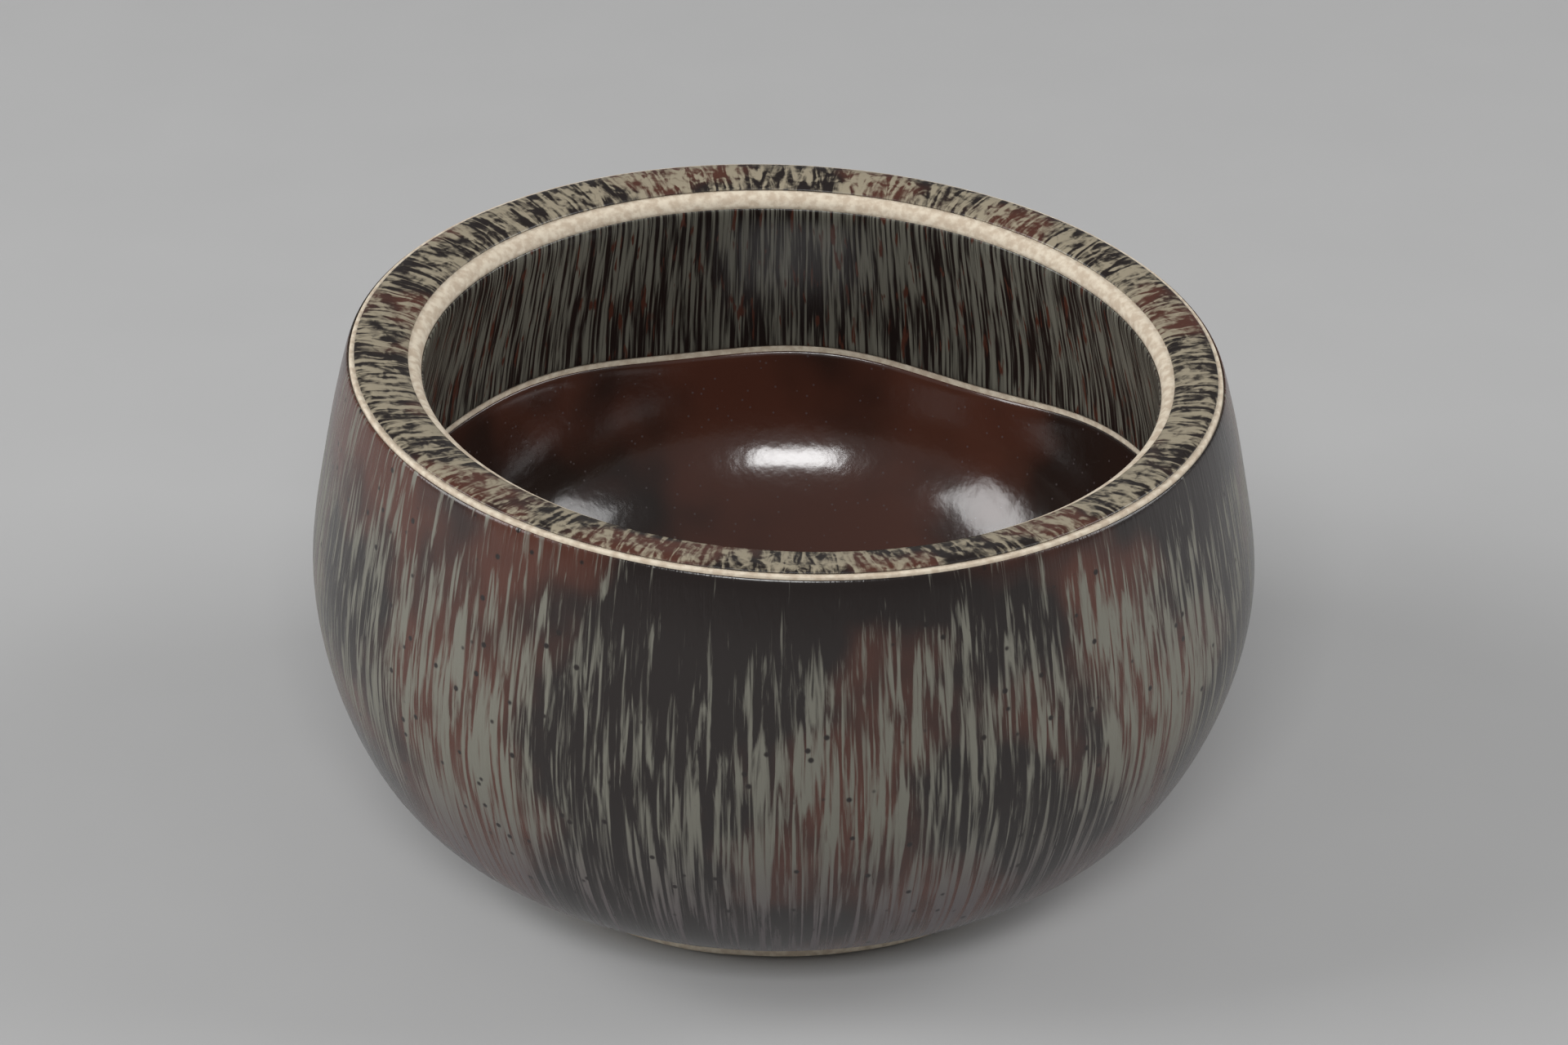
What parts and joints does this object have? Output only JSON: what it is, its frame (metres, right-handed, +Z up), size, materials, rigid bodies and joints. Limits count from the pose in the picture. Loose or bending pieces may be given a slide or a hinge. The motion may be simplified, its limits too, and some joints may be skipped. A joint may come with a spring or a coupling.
{
  "type": "tea bowl",
  "caption": "Round-bodied glazed stoneware tea bowl with an inturned shoulder, a broad flat rim and a bare turned foot ring.",
  "frame": {"origin": "on the surface it stands on, under the centre of the widest part of the wall", "axes": "+Z up out of the bowl, -Y towards the viewer's side, +X towards the lower side of the leaning rim"},
  "size_m": [0.1229, 0.1229, 0.0702],
  "materials": {
    "bare_clay": "bare pale biscuit-fired clay",
    "outer_glaze": "satin streaked glaze over dark ground",
    "rim_glaze": "mottled beige and dark brown glaze",
    "inner_wall_glaze": "fine vertical grey-green streaks",
    "floor_glaze": "glossy dark brown pool"
  },
  "bodies": {
    "root": {"clay_body": "bare_clay", "outer_glaze": "outer_glaze", "rim_glaze": "rim_glaze", "inner_wall_glaze": "inner_wall_glaze", "floor_glaze": "floor_glaze"}
  },
  "joints": []
}
